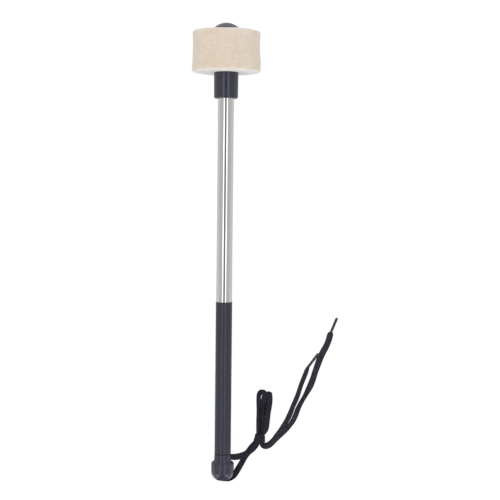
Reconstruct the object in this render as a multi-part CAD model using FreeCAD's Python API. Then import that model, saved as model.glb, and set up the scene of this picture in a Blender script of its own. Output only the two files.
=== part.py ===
import FreeCAD, Part
import math
import os

# A felt drumstick for a bass drum, lying on its side on a table, with the lace that ties it
# to the player's wrist knotted and laid out beside it. Sizes are in millimetres.
#
# Each piece of the stick is drawn standing up: its stations are heights along the stick's own
# axis, from the tip of the ball end (0) to the crown of the cap on the felt. The whole stick
# is then laid down, head towards +Y, so that the ball and the rim of the felt touch z = 0.

# Fits that several pieces share
ROOM = 0.02                  # radial room between a piece and the bore that holds it
OVERRUN = 1.0                # how far a cutting tool runs past the face that it cuts
EDGE_BREAK = 0.35            # small chamfer on turned and moulded ends

# Shaft tube, polished steel
TUBE_RADIUS = 6.0
TUBE_WALL = 1.0
TUBE_LENGTH = 284.7

# Thin sleeve over the lower part of the tube
SLEEVE_WALL = 0.25
SLEEVE_LENGTH = 116.8

# Pommel: ball end, flared shoulder, neck and a ribbed plug that goes up into the tube
BALL_RADIUS = 8.7            # of the short barrel that the ball end widens to
BALL_ROUNDING = 7.0          # radius of the round corner between the barrel and the end
BALL_BARREL = 6.1            # straight length above the rounding
SHOULDER_LENGTH = 2.9
NECK_FLARE = 0.3             # how much wider the neck is at the shoulder, on the radius
NECK_LENGTH = 5.4
SEAM_WIDTH = 0.6             # shadow line between the neck and the sleeve
SEAM_DEPTH = 0.4
PLUG_LENGTH = 18.0
PLUG_GROOVE_DEPTH = 0.5
PLUG_GROOVES = 3
LACE_BORE_RADIUS = 2.2
LACE_EXIT_DEPTH = 2.3        # station in the bore where the free end of the lace begins
SIDE_HOLE_RADIUS = 1.9
SIDE_HOLE_DROP = 20.0        # degrees below level, on the side where the lace leaves

# Collar that seats the felt on the tube
COLLAR_RADIUS = 9.25
COLLAR_DRAFT = 0.15          # how much smaller its lower end is, on the radius
COLLAR_LENGTH = 19.7
COLLAR_SEAT = 4.7            # thickness of the floor between the tube's end and the felt
COLLAR_EDGE = 1.2

# Felt head
FELT_HEIGHT = 30.35
FELT_RIM_RADIUS = 26.0       # lower rim, the widest
FELT_WAIST_RADIUS = 25.1
FELT_TOP_RADIUS = 25.4
FELT_EDGE = 0.9
FELT_BORE_ROOM = 0.3

# Domed cap, hollow, snapped over the washer
CAP_RADIUS = 11.2
CAP_HEIGHT = 6.7
CAP_RIM = 0.8
CAP_WALL = 1.6
WASHER_THICKNESS = 1.2

# Clamp screw and the threaded bush that takes it
SCREW_RADIUS = 3.0
SCREW_LENGTH = 48.0
SCREW_HEAD_RADIUS = 5.0
SCREW_HEAD_HEIGHT = 2.3
SCREW_KEY_ACROSS = 4.0
SCREW_KEY_DEPTH = 1.4
SCREW_HOLE_ROOM = 0.2
BUSH_LENGTH = 16.0
BUSH_FLANGE = 1.5

# Lace: a flat braid, drawn as the round cord that has the same section
LACE_WIDTH = 4.3
LACE_THICKNESS = 1.25
AGLET_RADIUS = 1.05
AGLET_LENGTH = 12.8
KNOT_HEIGHT = 6.1
KNOT_EDGE = 1.3

# Shape shares, chosen by eye from the photograph
FELT_WAIST_share = 0.54      # station of the narrowest line, as a part of the felt's height
SHOULDER_BEND_share = 0.30   # how far the shoulder's two arcs bow, as a part of their rise
GROOVE_share = 0.5           # groove width on the plug, as a part of the groove pitch
ARC_TRIM_share = 0.45        # part of the shorter run that a corner of the lace takes up

# Stations along the stick
shoulder_start = BALL_ROUNDING + BALL_BARREL
neck_start = shoulder_start + SHOULDER_LENGTH
tube_start = neck_start + NECK_LENGTH
tube_end = tube_start + TUBE_LENGTH
collar_end = tube_end + BUSH_FLANGE + COLLAR_SEAT
collar_start = collar_end - COLLAR_LENGTH
felt_start = collar_end
felt_end = felt_start + FELT_HEIGHT
cap_end = felt_end + CAP_HEIGHT
tube_bore_radius = TUBE_RADIUS - TUBE_WALL
sleeve_radius = TUBE_RADIUS + ROOM + SLEEVE_WALL
side_hole_station = neck_start + SIDE_HOLE_RADIUS + EDGE_BREAK
lace_radius = math.sqrt(LACE_WIDTH * LACE_THICKNESS / math.pi)

UP = FreeCAD.Vector(0, 0, 1)
ORIGIN = FreeCAD.Vector(0, 0, 0)


def at(radius, station):
    """A point of a turned outline: radius from the stick's axis, and station along it."""
    return FreeCAD.Vector(radius, 0, station)


def turned(start, *steps):
    """The solid of an outline turned about the stick's axis.

    A step is the next point, or a pair of points: the middle and the end of an arc.
    """
    edges = []
    here = start
    for step in steps + (start,):
        if isinstance(step, tuple):
            middle, end = step
            edges.append(Part.Arc(here, middle, end).toShape())
        else:
            end = step
            edges.append(Part.LineSegment(here, end).toShape())
        here = end
    outline = Part.Face(Part.Wire(edges))
    return outline.revolve(ORIGIN, UP, 360)


def corner_arc(centre, radius, from_degrees, to_degrees):
    """Middle and end of a round corner, for a step of a turned outline."""
    points = []
    for degrees in ((from_degrees + to_degrees) / 2, to_degrees):
        angle = math.radians(degrees)
        points.append(centre.add(at(radius * math.cos(angle), radius * math.sin(angle))))
    return tuple(points)


def rod(radius, start, end):
    """A round bar on the stick's axis between two stations."""
    return Part.makeCylinder(radius, end - start, at(0, start), UP)


def make_shaft_tube():
    outer = rod(TUBE_RADIUS, tube_start, tube_end)
    return outer.cut(rod(tube_bore_radius, tube_start - OVERRUN, tube_end + OVERRUN))


def make_grip_sleeve():
    sleeve_end = tube_start + SLEEVE_LENGTH
    outer = rod(sleeve_radius, tube_start, sleeve_end)
    return outer.cut(rod(TUBE_RADIUS + ROOM, tube_start - OVERRUN, sleeve_end + OVERRUN))


def make_pommel():
    shoulder_middle = (shoulder_start + neck_start) / 2
    foot_radius = sleeve_radius + NECK_FLARE
    shoulder_radius = (BALL_RADIUS + foot_radius) / 2
    rise = BALL_RADIUS - foot_radius
    bow = SHOULDER_BEND_share * rise
    quarter = SHOULDER_LENGTH / 4
    plug_radius = tube_bore_radius - ROOM
    body = turned(
        at(0, 0),
        at(BALL_RADIUS - BALL_ROUNDING, 0),
        corner_arc(rounding_centre, BALL_ROUNDING, -90, 0),
        at(BALL_RADIUS, shoulder_start),
        (at(BALL_RADIUS - rise / 4 + bow / 2, shoulder_start + quarter),
         at(shoulder_radius, shoulder_middle)),
        (at(foot_radius + rise / 4 - bow / 2, neck_start - quarter),
         at(foot_radius, neck_start)),
        at(sleeve_radius, tube_start - SEAM_WIDTH),
        at(sleeve_radius - SEAM_DEPTH, tube_start - SEAM_WIDTH),
        at(sleeve_radius - SEAM_DEPTH, tube_start),
        at(plug_radius, tube_start),
        at(plug_radius, tube_start + PLUG_LENGTH - EDGE_BREAK),
        at(plug_radius - EDGE_BREAK, tube_start + PLUG_LENGTH),
        at(0, tube_start + PLUG_LENGTH),
    )
    pitch = PLUG_LENGTH / (PLUG_GROOVES + 1)
    width = GROOVE_share * pitch
    for count in range(1, PLUG_GROOVES + 1):
        low = tube_start + count * pitch - width / 2
        ring = rod(plug_radius + OVERRUN, low, low + width)
        body = body.cut(ring.cut(rod(plug_radius - PLUG_GROOVE_DEPTH, low, low + width)))
    bore_top = side_hole_station + SIDE_HOLE_RADIUS
    bore = rod(LACE_BORE_RADIUS, -OVERRUN, bore_top)
    side_hole = Part.makeCylinder(SIDE_HOLE_RADIUS, BALL_RADIUS + OVERRUN,
                                  at(0, side_hole_station), side_direction())
    return body.cut(bore).cut(side_hole)


def side_direction():
    """The way that the lace leaves the neck: to +X, and a little down once the stick lies."""
    drop = math.radians(SIDE_HOLE_DROP)
    return FreeCAD.Vector(math.cos(drop), math.sin(drop), 0)


def make_collar():
    low = COLLAR_RADIUS - COLLAR_DRAFT
    body = turned(
        at(0, collar_start),
        at(low - COLLAR_EDGE, collar_start),
        corner_arc(at(low - COLLAR_EDGE, collar_start + COLLAR_EDGE), COLLAR_EDGE, -90, 0),
        at(COLLAR_RADIUS, collar_end - EDGE_BREAK),
        at(COLLAR_RADIUS - EDGE_BREAK, collar_end),
        at(0, collar_end),
    )
    socket = rod(TUBE_RADIUS + ROOM, collar_start - OVERRUN, tube_end + BUSH_FLANGE)
    hole = rod(SCREW_RADIUS + SCREW_HOLE_ROOM, collar_start, collar_end + OVERRUN)
    return body.cut(socket).cut(hole)


def make_felt_head():
    waist = felt_start + FELT_WAIST_share * FELT_HEIGHT
    body = turned(
        at(0, felt_start),
        at(FELT_RIM_RADIUS - FELT_EDGE, felt_start),
        corner_arc(at(FELT_RIM_RADIUS - FELT_EDGE, felt_start + FELT_EDGE), FELT_EDGE, -90, 0),
        (at(FELT_WAIST_RADIUS, waist), at(FELT_TOP_RADIUS, felt_end - FELT_EDGE)),
        corner_arc(at(FELT_TOP_RADIUS - FELT_EDGE, felt_end - FELT_EDGE), FELT_EDGE, 0, 90),
        at(0, felt_end),
    )
    bore_radius = SCREW_RADIUS + FELT_BORE_ROOM
    return body.cut(rod(bore_radius, felt_start - OVERRUN, felt_end + OVERRUN))


def crown_step(rim_radius, rim_station, top_station):
    """The arc from a dome's rim to its crown on the axis, as a step of a turned outline."""
    rise = top_station - rim_station
    sphere = (rim_radius ** 2 + rise ** 2) / (2 * rise)
    half = math.asin(rim_radius / sphere) / 2
    middle = at(sphere * math.sin(half), top_station - sphere * (1 - math.cos(half)))
    return middle, at(0, top_station)


def make_dome_cap():
    shell = turned(
        at(0, felt_end),
        at(CAP_RADIUS, felt_end),
        at(CAP_RADIUS, felt_end + CAP_RIM),
        crown_step(CAP_RADIUS, felt_end + CAP_RIM, cap_end),
    )
    inner = CAP_RADIUS - CAP_WALL
    hollow = turned(
        at(0, felt_end),
        at(inner, felt_end),
        at(inner, felt_end + WASHER_THICKNESS),
        crown_step(inner, felt_end + WASHER_THICKNESS, cap_end - CAP_WALL),
    )
    return shell.cut(hollow)


def make_clamp_washer():
    outer = rod(CAP_RADIUS - CAP_WALL - ROOM, felt_end, felt_end + WASHER_THICKNESS)
    hole_radius = SCREW_RADIUS + SCREW_HOLE_ROOM
    return outer.cut(rod(hole_radius, felt_end - OVERRUN, felt_end + WASHER_THICKNESS + OVERRUN))


def make_clamp_screw():
    seat = felt_end + WASHER_THICKNESS
    top = seat + SCREW_HEAD_HEIGHT
    body = turned(
        at(0, seat - SCREW_LENGTH),
        at(SCREW_RADIUS - EDGE_BREAK, seat - SCREW_LENGTH),
        at(SCREW_RADIUS, seat - SCREW_LENGTH + EDGE_BREAK),
        at(SCREW_RADIUS, seat),
        at(SCREW_HEAD_RADIUS, seat),
        at(SCREW_HEAD_RADIUS, top - EDGE_BREAK),
        at(SCREW_HEAD_RADIUS - EDGE_BREAK, top),
        at(0, top),
    )
    corner = SCREW_KEY_ACROSS / math.sqrt(3)
    corners = []
    for side in range(7):
        angle = math.radians(60 * side)
        corners.append(FreeCAD.Vector(corner * math.cos(angle), corner * math.sin(angle),
                                      top - SCREW_KEY_DEPTH))
    key = Part.Face(Part.makePolygon(corners)).extrude(at(0, SCREW_KEY_DEPTH + OVERRUN))
    return body.cut(key)


def make_thread_bush():
    body = turned(
        at(0, tube_end - BUSH_LENGTH),
        at(tube_bore_radius - ROOM - EDGE_BREAK, tube_end - BUSH_LENGTH),
        at(tube_bore_radius - ROOM, tube_end - BUSH_LENGTH + EDGE_BREAK),
        at(tube_bore_radius - ROOM, tube_end),
        at(TUBE_RADIUS, tube_end),
        at(TUBE_RADIUS, tube_end + BUSH_FLANGE),
        at(0, tube_end + BUSH_FLANGE),
    )
    bore = rod(SCREW_RADIUS + ROOM, tube_end - BUSH_LENGTH - OVERRUN,
               tube_end + BUSH_FLANGE + OVERRUN)
    return body.cut(bore)


# Laying the stick down. The table is the line that touches both the rounding of the ball and
# the round lower edge of the felt, so the tilt comes from the centres and radii of those two.
rounding_centre = at(BALL_RADIUS - BALL_ROUNDING, BALL_ROUNDING)
edge_centre = at(FELT_RIM_RADIUS - FELT_EDGE, felt_start + FELT_EDGE)
reach = edge_centre.sub(rounding_centre)
tilt = math.atan2(reach.x, reach.z) - math.asin((BALL_ROUNDING - FELT_EDGE) / reach.Length)
laid = FreeCAD.Rotation(FreeCAD.Vector(1, 0, 0), math.degrees(tilt) - 90)


def stick_pieces():
    return {
        "shaft_tube": make_shaft_tube(),
        "grip_sleeve": make_grip_sleeve(),
        "pommel": make_pommel(),
        "collar": make_collar(),
        "thread_bush": make_thread_bush(),
        "felt_head": make_felt_head(),
        "clamp_washer": make_clamp_washer(),
        "clamp_screw": make_clamp_screw(),
        "dome_cap": make_dome_cap(),
    }


def laying_placement(pieces):
    """Turns the standing stick onto its side and centres its box over the origin, on z = 0."""
    stick = Part.makeCompound(list(pieces.values()))
    stick.Placement = FreeCAD.Placement(ORIGIN, laid)
    box = stick.optimalBoundingBox(False, False)
    shift = FreeCAD.Vector(-box.Center.x, -box.Center.y, -box.ZMin)
    return FreeCAD.Placement(shift, laid)


def route_wire(points, name):
    """Straight runs between the points, joined by tangent arcs; prints the tightest bend."""
    edges = []
    radii = []
    here = points[0]
    for before, corner, after in zip(points, points[1:], points[2:]):
        into = corner.sub(before)
        out = after.sub(corner)
        half_turn = into.getAngle(out) / 2
        trim = ARC_TRIM_share * min(into.Length, out.Length)
        into.normalize()
        out.normalize()
        radius = trim / math.tan(half_turn)
        start = corner.sub(into * trim)
        end = corner.add(out * trim)
        inward = out.sub(into)
        inward.normalize()
        middle = corner.add(inward * (radius / math.cos(half_turn) - radius))
        edges.append(Part.LineSegment(here, start).toShape())
        edges.append(Part.Arc(start, middle, end).toShape())
        radii.append(radius)
        here = end
    edges.append(Part.LineSegment(here, points[-1]).toShape())
    print(name, "bend radii", [round(r, 1) for r in radii])
    return Part.Wire(edges)


def cord(points, name):
    """A round cord along a route; prints its length and how its volume agrees with it."""
    path = route_wire(points, name)
    direction = points[1].sub(points[0])
    section = Part.Wire(Part.makeCircle(lace_radius, points[0], direction))
    solid = path.makePipeShell([section], True, False)
    expected = math.pi * lace_radius ** 2 * path.Length
    print(name, "length", round(path.Length, 1), "volume share", round(solid.Volume / expected, 4))
    return solid, path


def vectors(*triples):
    return [FreeCAD.Vector(*triple) for triple in triples]


# The lace. Its two ends come out of the pommel, one at the neck and one at the ball, meet, are
# tied together in one slipped knot with two bights, and end in two loose tails with aglets.
# Points are places on the table, chosen by hand from the photograph: x, y and height.
FLOOR = 1.4                  # height of a strand's centre on the table
OVER = 4.65                  # height of the strand that lies on another one

NECK_LEAD = vectors(
    (10.3, -156.7, 5.6), (14.9, -156.4, 4.7), (19.0, -153.4, OVER), (22.6, -149.3, OVER),
    (26.1, -146.0, OVER))
END_LEAD = vectors(
    (0.7, -175.3, 7.9), (2.0, -176.9, 6.2), (4.8, -175.8, 3.7), (8.0, -172.5, 2.2),
    (11.0, -168.2, 1.5), (13.8, -163.5, FLOOR), (16.6, -158.0, FLOOR),
    (19.5, -153.0, FLOOR), (22.6, -149.3, FLOOR), (26.1, -146.0, FLOOR))
LEFT_BIGHT = vectors(
    (27.0, -137.84, FLOOR), (27.3, -130.8, FLOOR), (27.1, -118.8, FLOOR), (27.5, -106.1, 1.5),
    (32.4, -106.3, OVER), (31.9, -117.8, OVER), (30.5, -129.8, 4.6), (27.0, -137.84, OVER))
RIGHT_BIGHT = vectors(
    (30.7, -138.19, FLOOR), (31.3, -130.8, FLOOR), (31.0, -119.3, FLOOR), (31.7, -107.7, FLOOR),
    (37.3, -107.9, FLOOR), (36.6, -118.8, 1.6), (35.4, -129.8, 3.3), (30.7, -138.19, OVER))
LEFT_TAIL = vectors(
    (30.4, -145.8, OVER), (32.9, -148.1, OVER), (36.8, -148.4, OVER), (40.0, -145.2, 4.4),
    (42.9, -139.8, 4.0), (48.2, -129.7, 1.8), (54.6, -115.4, FLOOR), (61.0, -99.6, FLOOR),
    (65.9, -86.7, FLOOR))
RIGHT_TAIL = vectors(
    (30.4, -145.8, FLOOR), (33.1, -148.3, FLOOR), (37.2, -148.7, FLOOR), (41.1, -145.7, FLOOR),
    (46.0, -139.6, FLOOR), (53.8, -128.7, FLOOR), (61.8, -113.7, FLOOR), (69.6, -97.1, FLOOR),
    (75.9, -78.4, FLOOR), (82.9, -60.4, FLOOR))
LEFT_AGLET = FreeCAD.Vector(7.2, 9.6, 0)
RIGHT_AGLET = FreeCAD.Vector(4.5, 11.1, 0)
KNOT_OUTLINE = vectors(
    (25.5, -137.7, 0), (32.5, -138.36, 0), (32.8, -143.2, 0), (28.2, -148.2, 0),
    (24.0, -143.8, 0))
KNOT_LIFT = 0.05             # the knot's underside stays this far off the table


def make_lace_inside(place):
    """The stretch hidden in the pommel, and the two mouths where it comes out."""
    inside = [
        place.multVec(at(0, side_hole_station).add(side_direction() * sleeve_radius)),
        place.multVec(at(0, side_hole_station)),
        place.multVec(at(0, LACE_EXIT_DEPTH)),
    ]
    solid, path = cord(inside, "lace_inside")
    return solid, path, inside[0], inside[-1]


def make_knot():
    outline = Part.makePolygon(KNOT_OUTLINE + KNOT_OUTLINE[:1])
    block = Part.Face(outline).extrude(at(0, KNOT_HEIGHT))
    uprights = [edge for edge in block.Edges if edge.BoundBox.ZLength > KNOT_HEIGHT / 2]
    block = block.makeFillet(KNOT_EDGE, uprights)
    block.translate(at(0, KNOT_LIFT))
    return block


def make_aglet(path_end, direction):
    """A slim rolled tip on the end of the lace, with a rounded nose."""
    body = turned(
        at(0, 0),
        at(AGLET_RADIUS, 0),
        at(AGLET_RADIUS, AGLET_LENGTH - AGLET_RADIUS),
        corner_arc(at(0, AGLET_LENGTH - AGLET_RADIUS), AGLET_RADIUS, 0, 90),
    )
    body.Placement = FreeCAD.Placement(path_end, FreeCAD.Rotation(UP, direction))
    return body


def least_gap(first, second):
    """Least gap between two cords, or of one cord to its own later turns, on points."""
    step = lace_radius / 2
    places = first.discretize(Distance=step)
    others = second.discretize(Distance=step)
    skip = math.ceil(math.pi * lace_radius * 2 / step)
    least = math.inf
    for index, place in enumerate(places):
        rest = others[index + skip:] if first is second else others
        for other in rest:
            least = min(least, place.distanceToPoint(other))
    return least - 2 * lace_radius


def lace_pieces(place):
    inside, inside_path, neck_mouth, end_mouth = make_lace_inside(place)
    pieces = {"lace_inside": inside}
    paths = {"lace_inside": inside_path}
    routes = {
        "lace_neck_lead": [neck_mouth] + NECK_LEAD,
        "lace_end_lead": [end_mouth] + END_LEAD,
        "lace_bight_left": LEFT_BIGHT,
        "lace_bight_right": RIGHT_BIGHT,
        "lace_tail_left": LEFT_TAIL,
        "lace_tail_right": RIGHT_TAIL,
    }
    for name, points in routes.items():
        pieces[name], paths[name] = cord(points, name)
    pieces["lace_knot"] = make_knot()
    pieces["aglet_left"] = make_aglet(LEFT_TAIL[-1], LEFT_AGLET)
    pieces["aglet_right"] = make_aglet(RIGHT_TAIL[-1], RIGHT_AGLET)
    for name in routes:
        others = [least_gap(paths[name], paths[other]) for other in routes if other != name]
        itself = least_gap(paths[name], paths[name])
        print(name, "least gap to itself", round(itself, 2), "to another", round(min(others), 2))
    return pieces


def main():
    os.makedirs("parts", exist_ok=True)
    pieces = stick_pieces()
    place = laying_placement(pieces)
    for shape in pieces.values():
        shape.Placement = place
    print("tilt in degrees", round(math.degrees(tilt), 3))
    print("middle of the ball end lies at", place.multVec(at(0, BALL_ROUNDING)))
    print("crown of the cap lies at", place.multVec(at(0, cap_end)))
    pieces.update(lace_pieces(place))
    for name, shape in pieces.items():
        if not shape.isValid():
            raise ValueError(name + " is not a valid solid")
        shape.exportStep("parts/" + name + ".step")


main()
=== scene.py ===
# %% [markdown]
# A felt drumstick, dressed for its portrait. The exact solids of the stick were built before this
# script: tube, sleeve, pommel, collar, cap. Here they get their finishes, and the soft parts, the
# felt head and the flat lace, are modelled as the soft things that they are. The first cell loads
# the exact solids as a fixed frame, in metres: the stick lies along +Y, the table is z = 0.

# %% Load the frame
import math

import bpy
import numpy as np
from mathutils import Matrix, Vector, noise


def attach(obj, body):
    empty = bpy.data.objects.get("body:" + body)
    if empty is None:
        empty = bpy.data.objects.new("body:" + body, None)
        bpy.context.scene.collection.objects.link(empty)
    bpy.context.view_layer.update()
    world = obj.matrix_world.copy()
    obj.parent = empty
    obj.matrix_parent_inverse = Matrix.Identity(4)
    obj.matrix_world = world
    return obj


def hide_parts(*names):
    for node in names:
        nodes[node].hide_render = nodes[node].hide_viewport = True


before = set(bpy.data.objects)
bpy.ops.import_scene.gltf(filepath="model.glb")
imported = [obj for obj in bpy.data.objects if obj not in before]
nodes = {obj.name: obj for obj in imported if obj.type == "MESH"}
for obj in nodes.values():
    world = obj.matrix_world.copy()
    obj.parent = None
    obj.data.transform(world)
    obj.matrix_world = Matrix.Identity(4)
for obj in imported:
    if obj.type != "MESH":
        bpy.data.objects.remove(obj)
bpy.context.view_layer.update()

# %% [markdown]
# The photograph was taken from straight above with the object laid out on a white table. A long
# lens almost removes perspective, but not quite: the stick leans, so its head is nearer to the
# lens and looks a little larger. The camera therefore stands at a real height, and its focal
# length follows from that height and from the width of table that fits in the square picture.

# %% Camera
def new_object(name, data):
    """An object that holds this data, in the scene."""
    made = bpy.data.objects.new(name, data)
    bpy.context.scene.collection.objects.link(made)
    return made


CAMERA_PLACE = (0.0194, 0.0034, 0.864)
CAMERA_ROLL = math.radians(0.62)
FOCAL_PIXELS = 1109.0
PICTURE_PIXELS = 500.0
SENSOR_MM = 36.0
NEAREST_SEEN = 0.05

camera_data = bpy.data.cameras.new("camera")
camera_data.sensor_width = SENSOR_MM
camera_data.lens = SENSOR_MM * FOCAL_PIXELS / PICTURE_PIXELS
camera_data.clip_start = NEAREST_SEEN
camera = new_object("camera", camera_data)
camera.location = CAMERA_PLACE
camera.rotation_euler = (0, 0, CAMERA_ROLL)
bpy.context.scene.camera = camera
bpy.context.scene.view_settings.view_transform = "Standard"
print("lens", round(camera_data.lens, 1), "mm at", CAMERA_PLACE[2], "m")

# %% [markdown]
# Polished metal has no colour of its own to speak of: it shows the room. The bright tube in the
# photograph has a thin dark line down its middle, a white band on each side of it and plain grey
# beyond, so the room had two long soft boxes, one on each side of the lens, with a dark gap
# between them. The same pair puts the twin streaks on the dark plastic. Two area lamps stand for
# the soft boxes, and the world gives the grey walls, the dark gap and an even fill. Two small
# panels low in front give the pommel's round end its bright flanks; only the gloss sees them.

# %% Soft boxes
BOX_HEIGHT = 1.30
BOX_FROM = math.radians(14.3)
BOX_TO = math.radians(28.5)
BOX_LENGTH = 2.3
BOX_RADIANCE = 1.34
FRONT_SIZE = 0.20
FRONT_PLACE = (0.31, -0.46, 0.22)
FRONT_RADIANCE = 2.8
POMMEL_PLACE = Vector((0, -0.17, 0.01))

inner = BOX_HEIGHT * math.tan(BOX_FROM)
outer = BOX_HEIGHT * math.tan(BOX_TO)
for side, name in ((-1, "soft_box_left"), (1, "soft_box_right")):
    lamp = bpy.data.lights.new(name, "AREA")
    lamp.shape = "RECTANGLE"
    lamp.size = outer - inner
    lamp.size_y = BOX_LENGTH
    lamp.energy = BOX_RADIANCE * math.pi * lamp.size * lamp.size_y
    box = new_object(name, lamp)
    box.location = (side * (inner + outer) / 2, 0, BOX_HEIGHT)
    box.visible_camera = False
for side, name in ((-1, "front_panel_left"), (1, "front_panel_right")):
    panel = bpy.data.lights.new(name, "AREA")
    panel.size = FRONT_SIZE
    panel.energy = FRONT_RADIANCE * math.pi * FRONT_SIZE ** 2
    stand = new_object(name, panel)
    stand.location = (side * FRONT_PLACE[0], FRONT_PLACE[1], FRONT_PLACE[2])
    to_pommel = POMMEL_PLACE - stand.location
    stand.rotation_euler = to_pommel.to_track_quat("-Z", "Y").to_euler()
    stand.visible_camera = False
    stand.visible_diffuse = False
print("soft boxes", round(lamp.size, 2), "by", lamp.size_y, "m,", round(lamp.energy, 2), "W each")

# %% [markdown]
# Shader trees are easier to read when each node is made in one line. The helper below adds a
# node, sets its options, and fills its inputs: a number or colour is written in, another node's
# output is linked.

# %% A helper that makes one shader node
def add(tree, kind, inputs=None, **options):
    """A new node of this kind; inputs maps a socket's name or number to a value or an output."""
    made = tree.nodes.new(kind)
    for option, value in options.items():
        setattr(made, option, value)
    for socket, value in (inputs or {}).items():
        if isinstance(value, bpy.types.NodeSocket):
            tree.links.new(value, made.inputs[socket])
        else:
            made.inputs[socket].default_value = value
    return made


def maths(tree, operation, *values):
    """The output of a Math node on one to three values."""
    made = add(tree, "ShaderNodeMath", dict(enumerate(values)), operation=operation)
    return made.outputs[0]


def times(tree, one, two):
    """The product of two values or outputs."""
    return maths(tree, "MULTIPLY", one, two)


def noise_level(tree, vector, **sockets):
    """The level of a noise texture, from 0 to 1."""
    return add(tree, "ShaderNodeTexNoise", {"Vector": vector, **sockets}).outputs["Fac"]


def smooth_step(tree, value, low, high):
    """0 below low, 1 above high, with a soft change between."""
    made = add(tree, "ShaderNodeMapRange",
               {"Value": value, "From Min": low, "From Max": high},
               interpolation_type="SMOOTHSTEP")
    return made.outputs["Result"]


# %% [markdown]
# The rest of the room is a few soft steps, worked out from the direction in which a ray leaves.
# The gloss meets grey walls, a dark gap overhead between the soft boxes, a dark stand between
# paler sides in front of the pommel, and a pale screen behind the head. Matt surfaces get an even
# fill instead, a little stronger from the front, and the lens sees plain white. An edge below is
# the pair of slopes between which one level turns into the next.

# %% The room as the gloss sees it
FILL_LOW = 0.70
FILL_HIGH = 0.66
FILL_FRONT = 0.40
WALL_LEVEL = 0.54
GAP_LEVEL = 0.22
GAP_EDGE = (-0.05, 0.01)
FRONT_LEVEL = 0.75
FRONT_EDGE = (0.8, 1.3)
STAND_LEVEL = 0.06
STAND_EDGE = (0.30, 0.50)
BACK_LEVEL = 0.95
BACK_EDGE = (0.55, 1.0)
BACK_SIDE_EDGE = (0.5, 0.9)
LEAST = 0.01


def blend(tree, share, low, high):
    """low where the share is 0, high where it is 1; all three may be numbers or outputs."""
    return add(tree, "ShaderNodeMix", {"Factor": share, "A": low, "B": high}).outputs["Result"]


world = bpy.data.worlds.new("room")
bpy.context.scene.world = world
world.use_nodes = True
room = world.node_tree
room.nodes.clear()
rays = add(room, "ShaderNodeLightPath")
direction = add(room, "ShaderNodeSeparateXYZ",
                {0: add(room, "ShaderNodeTexCoord").outputs["Generated"]})
across = maths(room, "ABSOLUTE", direction.outputs["X"])
height = maths(room, "MAXIMUM", direction.outputs["Z"], LEAST)
slope = maths(room, "DIVIDE", across, height)
edge = math.tan(BOX_FROM)
over_gap = smooth_step(room, slope, edge + GAP_EDGE[0], edge + GAP_EDGE[1])
gap = blend(room, over_gap, GAP_LEVEL, WALL_LEVEL)
along = maths(room, "DIVIDE", direction.outputs["Y"], height)
beside = maths(room, "DIVIDE", across,
               maths(room, "MAXIMUM", maths(room, "ABSOLUTE", direction.outputs["Y"]), LEAST))
front = blend(room, smooth_step(room, beside, *STAND_EDGE), STAND_LEVEL, FRONT_LEVEL)
in_front = smooth_step(room, times(room, along, -1.0), *FRONT_EDGE)
gloss_level = blend(room, in_front, gap, front)
behind = times(room, smooth_step(room, along, *BACK_EDGE),
               maths(room, "SUBTRACT", 1.0, smooth_step(room, beside, *BACK_SIDE_EDGE)))
gloss_level = blend(room, behind, gloss_level, BACK_LEVEL)
fill = blend(room, height, FILL_LOW, FILL_HIGH)
from_front = maths(room, "MAXIMUM", times(room, direction.outputs["Y"], -1.0), 0.0)
fill = maths(room, "MULTIPLY_ADD", from_front, FILL_FRONT, fill)
level = blend(room, rays.outputs["Is Glossy Ray"], fill, gloss_level)
white = blend(room, rays.outputs["Is Camera Ray"], level, 1.0)
background = add(room, "ShaderNodeBackground", {"Color": white, "Strength": 1.0})
add(room, "ShaderNodeOutputWorld", {"Surface": background.outputs["Background"]})
print("room walls at", WALL_LEVEL, "and the gap between the boxes at", GAP_LEVEL)

# %% [markdown]
# The table is one large pale sheet. Seen by the lens it has to be the pure white of the picture,
# yet still keep the soft shadow of the stick, so its own lit surface is mixed with a little light
# that only the lens and the gloss can see. For the gloss alone it also glows in front of the
# pommel and behind the head. One wedge straight before the pommel stays dark, narrow at the ball
# and wider further off, and puts the dark middle between the bright flanks of the ball end.

# %% Table
TABLE_HALF = 3.0
TABLE_COLOUR = (0.78, 0.78, 0.78, 1)

table_mesh = bpy.data.meshes.new("table")
corners = [(x * TABLE_HALF, y * TABLE_HALF, 0) for x, y in ((-1, -1), (1, -1), (1, 1), (-1, 1))]
table_mesh.from_pydata(corners, [], [(0, 1, 2, 3)])
table = new_object("table", table_mesh)
print("table", 2 * TABLE_HALF, "m square")

# %% Table finish: distances in metres, each pair the start and end of a soft change
TABLE_GLOW = 1.13
TABLE_GLOW_SHARE = 0.80
FRONT_GLOW = 1.5
BACK_GLOW = 1.15
GLOSS_DIMMING = 0.12
STAND_DIMMING = 0.85
NEAR = (0.168, 0.178)
WEDGE = (-0.086, -0.076)
WEDGE_SLOPE = -0.5
WEDGE_END = (0.26, 0.34)
BACK = (0.19, 0.24)

table_finish = bpy.data.materials.new("white_table")
table_finish.use_nodes = True
tree = table_finish.node_tree
tree.nodes.clear()
rays = add(tree, "ShaderNodeLightPath")
lit = add(tree, "ShaderNodeBsdfDiffuse", {"Color": TABLE_COLOUR})
place = add(tree, "ShaderNodeSeparateXYZ",
            {0: add(tree, "ShaderNodeNewGeometry").outputs["Position"]})
ahead = times(tree, place.outputs["Y"], -1.0)
spread = maths(tree, "MULTIPLY_ADD", ahead, WEDGE_SLOPE,
               maths(tree, "ABSOLUTE", place.outputs["X"]))
near = smooth_step(tree, ahead, *NEAR)
wide = maths(tree, "MAXIMUM", smooth_step(tree, spread, *WEDGE),
             smooth_step(tree, ahead, *WEDGE_END))
in_front = times(tree, near, wide)
at_back = smooth_step(tree, place.outputs["Y"], *BACK)
ends = maths(tree, "MAXIMUM", times(tree, in_front, FRONT_GLOW),
             times(tree, at_back, BACK_GLOW))
at_ends = maths(tree, "MAXIMUM", in_front, at_back)
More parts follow.
